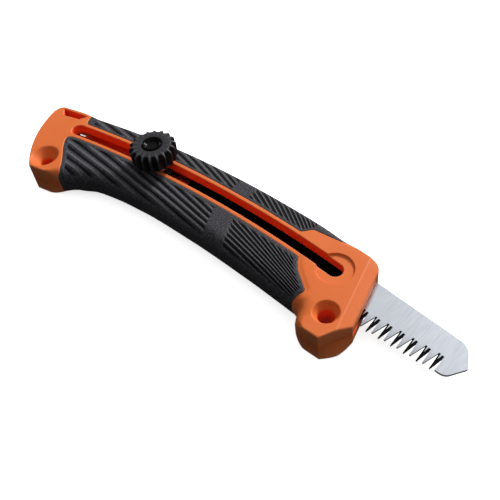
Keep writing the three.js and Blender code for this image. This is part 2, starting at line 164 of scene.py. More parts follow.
def handle_outline():
    """The handle's outline, anticlockwise from the top of the nose."""
    nose_top = bezier((14.6, 9.9), (13.9, 12.8), (11, 13.2))
    back = spline([(11, 13.2), (5, 14.0), (-3.5, 15.1), (-20, 17.6), (-50, 19.7), (-80, 20.3),
                   (-107, 19.5), (-135, 16.9), (-164, 12.9), (-181.5, 9.8)])
    butt_top = bezier((-181.5, 9.8), (-184.6, 9.2), (-184.98, 4.45))
    butt = arc((-126.1, 16), 60, 191.1, 233.1, 36)
    belly = spline([(-154.2, -30.8), (-147, -27.9), (-132.5, -20.5), (-122, -17.9), (-105, -16.4),
                    (-90, -16.1), (-60, -17.2), (-30, -19.6), (-8, -22.0)])
    heel = bezier((-8, -22.0), (-4.4, -22.3), (-1.9, -23.9))
    chin = bezier((-0.2, -27.6), (1.4, -31), (5.8, -31.5))
    front = arr([(14, -31.8), (21.3, -18.8)])
    return divided(np.vstack([nose_top, back, butt_top, butt, belly, heel, chin, front]), 1.5)


def edge_roll(p):
    """How wide the surface rolls over between face and wall, at each point of the outline."""
    x, y = p[:, 0], p[:, 1]
    belly = np.where(y < -10, smoothstep(x, -153, -142) * (1 - smoothstep(x, -1, 7)), 0)
    back = np.where(y > 9, smoothstep(x, -170, -158) * (1 - smoothstep(x, -8, 4)), 0)
    return ROLL_WIDTH["least"] + ROLL_WIDTH["belly"] * belly + ROLL_WIDTH["back"] * back


def slot_loop(grow=0.0):
    """The slot's outline, anticlockwise, grown by a distance."""
    half = SLOT_HALF + grow
    tilt = math.degrees(math.acos((0 - SLOT_X) / SLOT_RADIUS)) - 90
    rear_tilt = math.degrees(math.acos((SLOT_REAR - SLOT_X) / SLOT_RADIUS)) - 90
    rear = beside_slot(SLOT_REAR)
    return np.vstack([
        line_beside_slot(0, SLOT_REAR, half)[1:-1],
        arc(rear, half, 90 + rear_tilt, 270 + rear_tilt, 16),
        line_beside_slot(SLOT_REAR, 0, -half)[1:-1],
        arc((0, 0), half, -90 + tilt, 90 + tilt, 16),
    ])


OUTLINE = handle_outline()
ROLL = edge_roll(OUTLINE)
RIM_EDGE = SLOT_HALF + RIM
BACK_ZONE = divided(np.vstack([
    line_beside_slot(-159, -25, RIM_EDGE),
    bezier((-23.6, 8.6), (-22.1, 9.9), (-21.2, 10.9), 4),
    bezier((-20.4, 11.8), (-19.6, 12.4), (-18.2, 12.5), 4),
    arr([(-6, 13.3), (-3.2, 14.4), (-3.2, 30), (-164.5, 30), (-163.8, 12.2), (-161.9, 7.9)]),
    bezier((-161.7, 7.5), (-161.3, 6.8), (-160.3, 6.6), 4),
]), 2.0)
BELLY_ZONE = divided(np.vstack([
    line_beside_slot(-15.6, -157.4, -RIM_EDGE),
    bezier((-158.4, -4.7), (-161.2, -5.2), (-162.0, -6.6), 6),
    bezier((-162.0, -6.6), (-161.6, -8.6), (-160.0, -10.4), 4),
    bezier((-156.6, -14.3), (-148.6, -21.4), (-146.4, -25.8), 8),
    arr([(-146.4, -45), (-6, -45), (-6, -21.5), (-4.7, -18.6)]),
    bezier((-4.2, -17.8), (-3.3, -16.5), (-4.2, -15.6), 5),
    arr([(-5, -15), (-12, -9.5)]),
    bezier((-12.8, -8.8), (-14.0, -7.0), (-14.9, -6.2), 3),
]), 2.0)
WINDOW = divided(arr([(-181.2, 8.3), (-177.5, 4.5), (-167.6, 6.6), (-165.2, 10.6)])[::-1], 2.0)[::-1]
POCKET = divided(arr([
    (6.6, 10.7), (-10, 12.6), (-30, 15), (-50, 16.4), (-83, 17.4), (-110, 16.3), (-140, 12.6), (-165, 9.4),
    (-180.4, 7.6), (-177.5, 4.6), (-168, 4.6), (-167, -6), (-150, -12.2), (-120, -12.6), (-90, -12.2),
    (-50, -13), (-14, -13.7), (6.6, -13.6),
]), 8.0)
PASSAGE = arr([(6, 10.8), (6, -13.5), (14, -13.9), (20.4, -18.2), (26, -19), (26, 8.3), (14, 9.5)])
PAD_SPACE = arr([(6.9, -12.3), (12.5, -12.3), (12.5, 8.7), (6.9, 8.7)])


# ---- Fields over the plan -------------------------------------------------------------------


def nearest(points, loop):
    """Each point's distance to the loop, the segment it is nearest to, and how far along that."""
    start = loop
    run = np.roll(loop, -1, 0) - loop
    square = (run**2).sum(1)
    distance, segment, along = [], [], []
    for part in np.array_split(points, max(1, len(points) // 3000)):
        gap = part[:, None] - start[None]
        t = np.clip((gap * run).sum(-1) / square, 0, 1)
        away = np.linalg.norm(gap - t[..., None] * run, axis=-1)
        best = away.argmin(1)
        row = np.arange(len(part))
        distance.append(away[row, best])
        segment.append(best)
        along.append(t[row, best])
    return np.concatenate(distance), np.concatenate(segment), np.concatenate(along)


def inside(points, loop):
    """Whether each point lies inside the loop."""
    x, y = points[:, 0], points[:, 1]
    out = np.zeros(len(points), bool)
    for (ax, ay), (bx, by) in zip(loop, np.roll(loop, -1, 0)):
        if ay != by:
            crosses = (ay > y) != (by > y)
            out ^= crosses & (x < (bx - ax) * (y - ay) / (by - ay) + ax)
    return out


def quarter(distance, radius):
    """How far a round edge has dropped, at a distance in from its wall."""
    t = np.clip(1 - distance / radius, 0, 1)
    return radius * (1 - np.sqrt(1 - t * t))


def roll_drop(p):
    """The drop of the rounded edge along the handle's outline, and the distance to it."""
    distance, segment, along = nearest(p, OUTLINE)
    radius = ROLL[segment] * (1 - along) + np.roll(ROLL, -1)[segment] * along
    return quarter(distance, radius), distance


def roll_rings(steps):
    """Lines along the outline that carry the rounded edge's curve."""
    for step in range(steps + 1):
        turn = math.pi / 2 * step / steps
        yield inset(OUTLINE, ROLL * (1 - math.cos(turn)))


def fillet_rings(loop, radius, outwards):
    """The loop, and the lines beside it that carry a small fillet's curve."""
    for share in (0, 0.08, 0.3, 0.62, 1):
        yield inset(loop, -outwards * radius * share)


def soft_ramp(s, width):
    """s where it is positive and 0 elsewhere, with a rounded bend."""
    bend = (s + width) ** 2 / (4 * width)
    return np.where(s > width, s, np.where(s < -width, 0, bend))


def sunk_rim(hole, sink):
    """The radius of a hang hole's countersink, which is narrower where it is shallow."""
    return hole["bore"] + (hole["rim"] - hole["bore"]) * sink / hole["sink"] if sink < 2 else hole["rim"]


def dish(p, hole, sink):
    """The drop of a hang hole's countersink."""
    radius = np.linalg.norm(p - arr(hole["centre"]), axis=1)
    rim = sunk_rim(hole, sink)
    share = (rim - radius) / (rim - hole["bore"])
    lip = quarter(radius - hole["bore"], 0.5)
    return sink * soft_ramp(share, 0.16) + lip


def dish_rings(hole, sink):
    rim = sunk_rim(hole, sink)
    span = rim - hole["bore"]
    for share in (-0.16, -0.08, 0, 0.08, 0.16, 0.4, 0.7):
        yield circle(hole["centre"], rim - share * span, 56)
    for out in (0.3, 0.12, 0.03, 0):
        yield circle(hole["centre"], hole["bore"] + out, 56)


def nose_slope(p):
    """The drop of the slope in front of the nose's crease, and how near the crease each point is."""
    n = NOSE_SLOPE
    ahead = (p[:, 0] - n["x"]) * math.cos(n["sweep"]) + (p[:, 1] - n["y"]) * math.sin(n["sweep"])
    return n["rise"] * soft_ramp(ahead, n["bend"]), np.clip(1 - np.abs(ahead) / n["bend"], 0, 1)


def shoulder(p):
    """The soft dip beside the front end of the belly grip."""
    s = SHOULDER
    away = nearest(p, BELLY_ZONE)[0]
    beside = 1 - smoothstep(away, s["near"], s["width"])
    return s["depth"] * beside * smoothstep(p[:, 0], s["from_x"], s["to_x"])


def nose_lines():
    n = NOSE_SLOPE
    along = np.array([-math.sin(n["sweep"]), math.cos(n["sweep"])])
    across = np.array([math.cos(n["sweep"]), math.sin(n["sweep"])])
    for ahead in (-n["bend"], 0, n["bend"]):
        middle = np.array([n["x"], n["y"]]) + ahead * across
        yield np.array([middle - 60 * along, middle + 30 * along])


STEP_OUT = [
    (-9, 1.0), (-0.55, 1.0), (-0.3, 0.93), (-0.12, 0.7), (0, 0.4), (0.08, 0.2), (0.2, 0.06), (0.45, 0),
]


def seat_drop(p):
    """The drop of the shallow round seat at the slot's front end."""
    out, drop = zip(*STEP_OUT)
    return np.interp(np.linalg.norm(p, axis=1) - SEAT_RADIUS, out, drop)


def seat_rings():
    for out, _ in STEP_OUT[1:]:
        yield circle((0, 0), SEAT_RADIUS + out, 72)


RECESS = [(0, 2.4), (2.75, 2.4), (2.9, 2.3), (2.94, 0.25), (3.02, 0.06), (3.2, 0)]


def recess_drop(p):
    """The drop of the screws' recesses."""
    out, drop = zip(*RECESS)
    return sum(np.interp(np.linalg.norm(p - arr(place), axis=1), out, drop) for place in SCREWS)


def recess_rings():
    for place in SCREWS:
        for radius, _ in RECESS[1:]:
            yield circle(place, radius, 32)


def steps_of(loop):
    """The pair of lines that a steep step runs between."""
    yield inset(loop, GAP / 2)
    yield inset(loop, -GAP / 2)


# ---- Meshes ---------------------------------------------------------------------------------


def make(name, vertices, faces, material, body, node, smooth=35.0, fields=None):
    """A finished piece: an object that rides on a body and stands for CAD nodes."""
    mesh = bpy.data.meshes.new(name)
    mesh.from_pydata([tuple(v) for v in np.asarray(vertices, float) * MM], [], [tuple(f) for f in faces])
    mesh.validate()
    mesh.update()
    mesh.shade_smooth()
    mesh.set_sharp_from_angle(angle=math.radians(smooth))
    for key, values in (fields or {}).items():
        mesh.attributes.new(key, "FLOAT", "POINT").data.foreach_set("value", np.asarray(values, np.float32))
    obj = bpy.data.objects.new(name, mesh)
    bpy.context.scene.collection.objects.link(obj)
    mesh.materials.append(material)
    weighted = obj.modifiers.new("flat faces stay flat", "WEIGHTED_NORMAL")
    weighted.keep_sharp = True
    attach(obj, body)
    if node:
        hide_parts(node)
    return obj


def triangulated(lines):
    """A triangulation of the plan that keeps every line. A line is a loop, or a pair (points, False)."""
    points, edges, count = [], [], 0
    for line in lines:
        line, closed = line if isinstance(line, tuple) else (line, True)
        n = len(line)
        points.append(line)
        edges += [(count + i, count + i + 1) for i in range(n - 1)]
        if closed:
            edges.append((count + n - 1, count))
        count += n
    flat = [Vector(p) for p in np.vstack(points)]
    plan, _, faces, *_ = delaunay_2d_cdt(flat, edges, [], 0, 1e-4)
    return np.array([tuple(p) for p in plan]), np.array(faces)


def skin(lines, keep, height, underside):
    """Vertices, faces and fields of a closed body over a plan region.

    keep says which points of the plan belong to the region. height and underside give the
    body's top and bottom at each point.
    """
    plan, faces = triangulated(lines)
    corners = plan[faces]
    faces = faces[keep(corners.mean(1))]
    used, faces = np.unique(faces, return_inverse=True)
    faces = faces.reshape(-1, 3)
    plan = plan[used]
    a, b, c = plan[faces[:, 0]], plan[faces[:, 1]], plan[faces[:, 2]]
    area = (b[:, 0] - a[:, 0]) * (c[:, 1] - a[:, 1]) - (b[:, 1] - a[:, 1]) * (c[:, 0] - a[:, 0])
    faces[area < 0] = faces[area < 0][:, ::-1]
    count = len(plan)
    directed = {}
    for face in faces:
        for i in range(3):
            directed[(face[i], face[(i + 1) % 3])] = True
    rim = [edge for edge in directed if (edge[1], edge[0]) not in directed]
    walls = [(b, a, a + count, b + count) for a, b in rim]
    top, fields = height(plan)
    low = np.minimum(underside(plan), top - 0.2)
    vertices = np.vstack([np.column_stack([plan, top]), np.column_stack([plan, low])])
    fields = {key: np.concatenate([values, np.zeros(count)]) for key, values in fields.items()}
    all_faces = [tuple(f) for f in faces] + [tuple(f[::-1] + count) for f in faces] + walls
    return vertices, all_faces, fields


def turned_over(vertices, faces, fields):
    """The same body for the lower half: mirrored about the parting plane."""
    vertices = vertices * (1, 1, -1) + (0, 0, TOP)
    return vertices, [face[::-1] for face in faces], fields


# ---- Handle ---------------------------------------------------------------------------------


def on_rim(p, *loops):
    """The drop of the small fillet beside the loops, and how near the edge each point is."""
    distance = np.min([nearest(p, loop)[0] for loop in loops], axis=0)
    return quarter(distance, EDGE), 1 - np.clip(distance / (EDGE * 1.2), 0, 1)


def shell_skin(upper):
    """The hard half shell, where no grip covers it."""
    sinks = (NOSE_HOLE["sink"], BUTT_HOLE["sink"]) if upper else (UNDER_SINK, UNDER_SINK)
    holes = (NOSE_HOLE, BUTT_HOLE)
    bores = [circle(hole["centre"], hole["bore"], 56) for hole in holes]
    edges = [BACK_ZONE, BELLY_ZONE, WINDOW] + ([slot_loop()] if upper else [])
    ceiling = POCKET_CEILING["upper" if upper else "lower"]
    lines = [*roll_rings(5), *steps_of(POCKET), *steps_of(PASSAGE), *steps_of(PAD_SPACE)]
    for loop in edges:
        lines += fillet_rings(loop, EDGE, 1)
    for hole, sink in zip(holes, sinks):
        lines += dish_rings(hole, sink)
    lines += seat_rings() if upper else recess_rings()
    lines += [(line, False) for line in nose_lines()]
    lines += [inset(BELLY_ZONE, -out) for out in np.linspace(0.8, SHOULDER["width"], 5)]

    def keep(p):
        return inside(p, OUTLINE) & ~np.any([inside(p, loop) for loop in edges + bores], axis=0)

    def height(p):
        roll, distance = roll_drop(p)
        rim, edge = on_rim(p, *edges)
        slope, crease = nose_slope(p)
        drop = roll + rim + slope + shoulder(p)
        for hole, sink in zip(holes, sinks):
            drop = drop + dish(p, hole, sink)
        drop = drop + (seat_drop(p) if upper else recess_drop(p))
        # Painted highlight and rubbed wear near the fillets and the outline, and a painted highlight along
        # the nose crease.
        painted_sheen_and_wear = np.max([edge, 1 - np.clip(distance / EDGE_SHEEN_AND_WEAR, 0, 1), crease], axis=0)
        return TOP - drop, {"edge": painted_sheen_and_wear}

    def underside(p):
        low = np.where(inside(p, PASSAGE), PASSAGE_CEILING, SEAM)
        low = np.where(inside(p, POCKET), ceiling, low)
        return np.where(inside(p, PAD_SPACE), PAD_CEILING, low)

    vertices, faces, fields = skin(lines, keep, height, underside)
    plan = vertices[: len(vertices) // 2, :2]
    on_outline = nearest(plan, OUTLINE)[0] < GAP
    on_hole = np.min([nearest(plan, loop)[0] for loop in edges + bores], axis=0) < GAP / 2
    # Painted shade and bounced light: 1 on the top edges of the slot, hole, window and grip walls and on the
    # underside away from the outline.
    fields["deep"] = np.concatenate([on_hole, ~on_outline]).astype(float)
    return vertices, faces, fields


def core_skin(zone, upper):
    """The shell's floor under a grip."""
    wider = inset(zone, -0.6)
    inner = inset(OUTLINE, SKIN + CORE_GAP)
    ceiling = POCKET_CEILING["upper" if upper else "lower"]
    lines = [inner, wider, *steps_of(POCKET), *roll_rings(3)]

    def keep(p):
        return inside(p, inner) & inside(p, wider) & ~inside(p, slot_loop(0.4))

    def height(p):
        return TOP - SKIN - CORE_GAP - roll_drop(p)[0], {"edge": np.zeros(len(p))}

    def underside(p):
        return np.where(inside(p, POCKET), ceiling, SEAM)

    vertices, faces, fields = skin(lines, keep, height, underside)
    # Painted shade and bounced light: 1 on the underside of the floor under a grip.
    fields["deep"] = np.repeat([0.0, 1.0], len(vertices) // 2)
    return vertices, faces, fields


def swollen(vertices):
    """The lower half, with the front facet of its chin pushed out towards its bottom edge."""
    start = np.array(CHIN_SWELL["start"])
    run = np.array(CHIN_SWELL["end"]) - start
    length = np.linalg.norm(run)
    outward = np.array([run[1], -run[0]]) / length
    p = vertices[:, :2] - start
    along = np.clip(p @ run / length**2, 0, 1)
    share = np.sin(math.pi * along) * (1 - smoothstep(-p @ outward, 0.5, CHIN_SWELL["fade"]))
    share *= 1 - np.clip((vertices[:, 2] - CHIN_SWELL["low"]) / (PARTING - CHIN_SWELL["low"]), 0, 1)
    moved = vertices.copy()
    moved[:, :2] += CHIN_SWELL["out"] * share[:, None] * outward
    return moved


def joined(bodies):
    """Several bodies as one mesh."""
    vertices, faces, fields, count = [], [], {}, 0
    for v, f, more in bodies:
        vertices.append(v)
        faces += [tuple(i + count for i in face) for face in f]
        for key, values in more.items():
            fields.setdefault(key, []).append(values)
        count += len(v)
    return np.vstack(vertices), faces, {key: np.concatenate(values) for key, values in fields.items()}


# ---- Grips ----------------------------------------------------------------------------------

RUN_OUT = 0.5  # half the length over which a rib fades at its ends

# Half of a rib, from the middle of a groove to the crest: (share of the pitch, share of the depth).
ROOF = [(0, 1), (0.07, 1), (0.17, 0.5), (0.42, 0.08), (0.5, 0)]  # a thin groove between broad slopes
COMB = [(0, 1), (0.19, 1), (0.33, 0.25), (0.42, 0.05), (0.5, 0)]  # a groove as wide as the rib


class Ribs:
    """A fan of ribs that converge: where they run, how far apart, how deep, and between what.

    slopes and pitches hold the values at both ends of x_range. A groove starts at height level.
    """

    def __init__(self, x_range, level, slopes, pitches, profile, depth, left, right):
        self.x_range = x_range
        self.level = level
        self.slopes = np.tan(np.radians(slopes))
        self.pitches = pitches
        self.profile = profile
        self.depth = depth
        self.ends = (left, right)

    def guide(self, x):
        """The height of the groove that starts at level, and the pitch there."""
        start, end = self.x_range
        u = x - start
        bend = (self.slopes[1] - self.slopes[0]) / (2 * (end - start))
        pitch = self.pitches[0] + (self.pitches[1] - self.pitches[0]) * u / (end - start)
        return self.level + self.slopes[0] * u + bend * u * u, pitch

    def within(self, p):
        """1 inside the field, falling to 0 over a short run-out at both of its ends."""
        x, y = p[:, 0], p[:, 1]
        past = [x - (ax + (bx - ax) * (y - ay) / (by - ay)) for (ax, ay), (bx, by) in self.ends]
        return smoothstep(past[0], -RUN_OUT, RUN_OUT) * (1 - smoothstep(past[1], -RUN_OUT, RUN_OUT))

    def groove(self, p):
        """How deep each point lies, and how near it is to a crest, both from 0 to 1."""
        guide, pitch = self.guide(p[:, 0])
        away = np.abs((p[:, 1] - guide) / pitch % 1 - 0.5)
        share, depth = zip(*self.profile)
        within = self.within(p)
        return np.interp(0.5 - away, share, depth) * within, np.clip(1 - away / 0.09, 0, 1) * within

    def lines(self, low, high):
        """The ribs' edges, as open lines."""
        start, end = self.x_range
        before, past = 5, 3  # the fields' slanting ends reach outside x_range
        x = np.linspace(start - before, end + past, int((end - start + before + past) / 1.2))
        guide, pitch = self.guide(x)
        first = math.floor(((low - guide) / pitch).min())
        last = math.ceil(((high - guide) / pitch).max())
        shares = [share for share, _ in self.profile[1:]]
        for number in range(first, last + 1):
            for share in (*shares, *(1 - s for s in shares[:-1])):
                y = guide + (number + share) * pitch
                near = (y > low) & (y < high)
                if near.sum() > 1:
                    yield np.column_stack([x[near], y[near]]), False
        for (ax, ay), (bx, by) in self.ends:
            slant = (bx - ax) / (by - ay)
            for out in (-RUN_OUT, 0, RUN_OUT):
                yield arr([(ax + out + slant * (y - ay), y) for y in (low, high)]), False


BELLY_RIBS = [
    Ribs((-158, -60), -11.17, (-6.48, -5.19), (5.22, 2.55), ROOF, 0.75,
         ((-161, -5), (-150, -30)), ((-65, -2), (-60, -15))),
    Ribs((-52, -5), -10.42, (-13.23, -13.19), (2.28, 0.90), COMB, 0.5,
         ((-53, -3), (-48, -16)), ((-1, 0), (-1, -30))),
]
BACK_RIBS = [
    Ribs((-158, -67), 13.14, (-9.11, -13.52), (4.35, 2.52), ROOF, 0.5,
         ((-158, 5), (-158, 20)), ((-66, 5), (-66, 25))),
    Ribs((-56, -20), 15.02, (-26.20, -33.18), (2.50, 1.86), COMB, 0.4,
         ((-56, 5), (-56, 25)), ((-20, 5), (-20, 25))),
]


def grip_skin(zone, ribs, margin, low, high):
    """A soft grip, rolled over the handle's edge, with its ribs pressed in."""
    inner = inset(OUTLINE, SKIN)
    frame_lines = [*roll_rings(9), *fillet_rings(zone, EDGE, -1), *steps_of(inner)]
    frame_lines += [inset(zone, margin), inset(zone, margin + 0.35), inset(zone, margin + 0.7)]
    for field in ribs:
        frame_lines += field.lines(low, high)

    def keep(p):
        return inside(p, OUTLINE) & inside(p, zone)

    def height(p):
        roll, distance = roll_drop(p)
        away = nearest(p, zone)[0]
        fade = smoothstep(distance, 0.2, 2.4) * smoothstep(away, margin, margin + 0.7)
        shares = [field.groove(p) for field in ribs]
        cut = sum(deep * field.depth for (deep, _), field in zip(shares, ribs)) * fade
        # Painted highlight on the grip's edge and rib crests, and painted shade in the grooves.
        marks = {
            "edge": 1 - np.clip(away / (EDGE * 1.2), 0, 1),
            "groove": sum(deep for deep, _ in shares) * fade,
            "crest": sum(crest for _, crest in shares) * fade,
        }
        return TOP - roll - quarter(away, EDGE) - cut, marks

    def underside(p):
        roll, _ = roll_drop(p)
        return np.where(inside(p, inner), TOP - SKIN - roll, SEAM)

    return skin(frame_lines, keep, height, underside)


# ---- Materials ------------------------------------------------------------------------------


class Finish:
    """A node material with a Principled shader, built up a layer at a time."""

    def __init__(self, name, colour, roughness, metallic=0.0, specular=0.5):
        self.material = bpy.data.materials.new(name)
        self.material.use_nodes = True
        self.tree = self.material.node_tree
        self.shader = self.tree.nodes["Principled BSDF"]
        self.shader.inputs["Base Color"].default_value = (*colour, 1)
        self.shader.inputs["Roughness"].default_value = roughness
        self.shader.inputs["Metallic"].default_value = metallic
        self.shader.inputs["Specular IOR Level"].default_value = specular
        self.colour = None
        self.normal = None
        self.base = (*colour, 1)
        coordinates = self.tree.nodes.new("ShaderNodeTexCoord")
        self.place = coordinates.outputs["Object"]

    def link(self, output, target):
        self.tree.links.new(output, target)

    def stretched(self, scale, turn=0.0):
        """Object coordinates, turned about Z and scaled along each axis."""
        mapping = self.tree.nodes.new("ShaderNodeMapping")
        mapping.vector_type = "TEXTURE"
        mapping.inputs["Rotation"].default_value = (0, 0, turn)
        self.link(self.place, mapping.inputs["Vector"])
        scaled = self.tree.nodes.new("ShaderNodeMapping")
        scaled.inputs["Scale"].default_value = scale
        self.link(mapping.outputs[0], scaled.inputs["Vector"])
        return scaled.outputs[0]

    def noise(self, scale, detail=3.0, rough=0.55, place=None):
        node = self.tree.nodes.new("ShaderNodeTexNoise")
        node.inputs["Scale"].default_value = scale
        node.inputs["Detail"].default_value = detail
        node.inputs["Roughness"].default_value = rough
        self.link(place or self.place, node.inputs["Vector"])
        return node.outputs["Fac"]

    def attribute(self, name):
        node = self.tree.nodes.new("ShaderNodeAttribute")
        node.attribute_name = name
        return node.outputs["Fac"]

    def between(self, value, low, high, out_low=0.0, out_high=1.0):
        """value taken from one range to another, and kept in it."""
        node = self.tree.nodes.new("ShaderNodeMapRange")
        node.inputs["From Min"].default_value = low
        node.inputs["From Max"].default_value = high
        node.inputs["To Min"].default_value = out_low
        node.inputs["To Max"].default_value = out_high
        self.link(value, node.inputs["Value"])
        return node.outputs["Result"]

    def times(self, a, b):
        node = self.tree.nodes.new("ShaderNodeMath")
        node.operation = "MULTIPLY"
        self.link(a, node.inputs[0])
        if isinstance(b, (int, float)):
            node.inputs[1].default_value = b
        else:
            self.link(b, node.inputs[1])
        return node.outputs[0]

    def tint(self, share, colour):
        """Mixes a colour into the base colour where share is high."""
        node = self.tree.nodes.new("ShaderNodeMix")
        node.data_type = "RGBA"
        if self.colour is None:
            node.inputs["A"].default_value = self.base
        else:
            self.link(self.colour, node.inputs["A"])
        node.inputs["B"].default_value = (*colour, 1)
        self.link(share, node.inputs["Factor"])
        self.colour = node.outputs["Result"]
        self.link(self.colour, self.shader.inputs["Base Color"])
        return self

    def roughness(self, value, low, high):
        self.link(self.between(value, 0.3, 0.7, low, high), self.shader.inputs["Roughness"])
        return self

    def bump(self, value, height, strength=1.0):
        """Adds relief of a height in millimetres."""
        node = self.tree.nodes.new("ShaderNodeBump")
        node.inputs["Strength"].default_value = strength
        node.inputs["Distance"].default_value = height * MM
        self.link(value, node.inputs["Height"])
        if self.normal is not None:
            self.link(self.normal, node.inputs["Normal"])
        self.normal = node.outputs["Normal"]
        self.link(self.normal, self.shader.inputs["Normal"])
        return self


def orange_plastic():
    """Glass-filled nylon: a fine spark-eroded grain; a painted highlight and rubbed wear make its edges and
    the nose crease lighter, and painted shade and bounced light make its inner walls and undersides a deeper
    red.
    """
    f = Finish("orange_nylon", (0.62, 0.135, 0.030), 0.5, specular=0.15)
    grain = f.noise(3800, 2)
    f.tint(f.between(f.noise(45, 3), 0.4, 0.7, 0, 0.35), (0.62, 0.145, 0.038))
    f.tint(f.times(f.between(grain, 0.45, 0.75), 0.22), (0.42, 0.075, 0.016))
    # Painted highlight and rubbed wear: lighter along edges, the outline and the nose crease.
    f.tint(f.times(f.attribute("edge"), 0.45), (0.80, 0.27, 0.11))
    # Painted shade and bounced light: a deeper red on inner walls and undersides.
    f.tint(f.times(f.attribute("deep"), 0.9), (0.85, 0.08, 0.018))
    f.roughness(f.noise(600, 3), 0.4, 0.54)
    f.bump(grain, 0.03, 0.5)
    f.bump(f.noise(900, 2), 0.03, 0.3)
    return f.material


def grip_rubber():
    """Thermoplastic rubber: speckled, with painted shade that makes its grooves black, and a painted
    highlight, partly rubbed wear, that turns its crests and edges grey.
    """
    f = Finish("grip_rubber", (0.030, 0.030, 0.035), 0.7, specular=0.12)
    speckle = f.noise(1500, 3, 0.7)
    f.tint(f.between(f.noise(60, 4), 0.4, 0.75, 0, 0.5), (0.05, 0.05, 0.056))
    f.tint(f.times(f.between(speckle, 0.48, 0.62), 0.75), (0.095, 0.094, 0.104))
    f.tint(f.between(speckle, 0.5, 0.38, 0, 0.6), (0.012, 0.012, 0.014))
    # Painted highlight, partly rubbed wear: grey on the ribs' crests.
    f.tint(f.times(f.attribute("crest"), 0.75), (0.16, 0.158, 0.17))
    # Painted shade: near black in the grooves.
    f.tint(f.between(f.attribute("groove"), 0.2, 0.9, 0, 0.95), (0.002, 0.002, 0.003))
    # Painted highlight: lighter along the grip's edges.
    f.tint(f.times(f.attribute("edge"), 0.4), (0.14, 0.14, 0.15))
    f.roughness(f.noise(500, 3), 0.55, 0.75)
    f.bump(speckle, 0.1, 0.8)
    return f.material


def knob_plastic():
    """Hard black plastic; a painted highlight and rubbed wear make its crests lighter, most near the top,
    and a painted shade darkens it between its ribs.
    """
    f = Finish("knob_plastic", (0.020, 0.020, 0.023), 0.45, specular=0.15)
    f.tint(f.between(f.noise(90, 3), 0.4, 0.7, 0, 0.4), (0.03, 0.03, 0.034))
    # Painted shade: near black between the ribs.
    f.tint(f.times(f.attribute("groove"), 0.9), (0.004, 0.004, 0.005))
    # Painted highlight and rubbed wear: lighter on the ribs' crests, most near the top.
    f.tint(f.times(f.attribute("edge"), 0.5), (0.14, 0.14, 0.15))
    f.roughness(f.noise(500, 3), 0.38, 0.52)
    f.bump(f.noise(3000, 2), 0.03, 0.5)
    return f.material


def cap_plastic():
    """Polished black plastic."""
    f = Finish("cap_plastic", (0.002, 0.002, 0.002), 0.16, specular=0.05)
    f.tint(f.between(f.noise(200, 3), 0.45, 0.7, 0, 0.5), (0.007, 0.007, 0.008))
    f.roughness(f.noise(700, 4), 0.12, 0.24)
    f.bump(f.noise(350, 2), 0.01, 0.2)
    return f.material


def blade_steel():
    """Steel ground across the blade, blackened on its teeth's bevels and along the middle of its body, with
    a painted shade that turns it darker grey towards its teeth's tips.
    """
    f = Finish("blade_steel", (0.56, 0.59, 0.64), 0.2, metallic=1.0)
    lines = f.noise(1, 4, 0.6, f.stretched((7500, 160, 160), BLADE_LEAN))
    streaks = f.noise(1, 3, 0.5, f.stretched((700, 40, 40), BLADE_LEAN))
    f.tint(f.between(lines, 0.35, 0.7, 0, 0.6), (0.66, 0.69, 0.735))
    f.tint(f.between(streaks, 0.5, 0.75, 0, 0.2), (0.48, 0.505, 0.55))
    # Painted shade: darker grey towards the teeth's tips.
    f.tint(f.times(f.attribute("tooth"), 0.8), (0.33, 0.35, 0.39))
    f.tint(f.between(f.attribute("ground"), 0.1, 0.5), (0.008, 0.008, 0.010))
    # A black band along the middle of the body.
    f.tint(f.between(f.attribute("coat"), 0.1, 0.9), (0.005, 0.004, 0.004))
    f.roughness(lines, 0.16, 0.25)
    f.bump(lines, 0.001, 0.2)
    return f.material


def fastener_steel():
    f = Finish("fastener_steel", (0.5, 0.51, 0.53), 0.34, metallic=1.0)
    f.tint(f.between(f.noise(300, 4), 0.4, 0.7, 0, 0.6), (0.36, 0.37, 0.39))
    f.roughness(f.noise(900, 4), 0.25, 0.5)
    f.bump(f.noise(2500, 3), 0.01, 0.4)
    return f.material


def insert_brass():
    f = Finish("insert_brass", (0.62, 0.42, 0.16), 0.32, metallic=1.0)
    f.tint(f.between(f.noise(300, 4), 0.4, 0.7, 0, 0.6), (0.45, 0.29, 0.10))
    f.roughness(f.noise(900, 4), 0.25, 0.45)
    f.bump(f.noise(2500, 3), 0.01, 0.4)
    return f.material


def slider_plastic():
    f = Finish("slider_plastic", (0.02, 0.02, 0.022), 0.5)
    f.tint(f.between(f.noise(120, 4), 0.4, 0.7, 0, 0.5), (0.035, 0.035, 0.038))
    f.roughness(f.noise(700, 3), 0.4, 0.6)
    f.bump(f.noise(3000, 2), 0.03, 0.5)
    return f.material


def pad_nylon():
    f = Finish("pad_nylon", (0.62, 0.61, 0.56), 0.5)
    f.tint(f.between(f.noise(200, 4), 0.4, 0.7, 0, 0.5), (0.5, 0.48, 0.42))
    f.roughness(f.noise(700, 3), 0.4, 0.6)
    f.bump(f.noise(2500, 2), 0.02, 0.4)
    return f.material


# ---- Turned and ribbed pieces ---------------------------------------------------------------


def clamp_centre():
    low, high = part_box("clamp_bolt")
    return np.array([(low.x + high.x) / 2, (low.y + high.y) / 2]) / MM


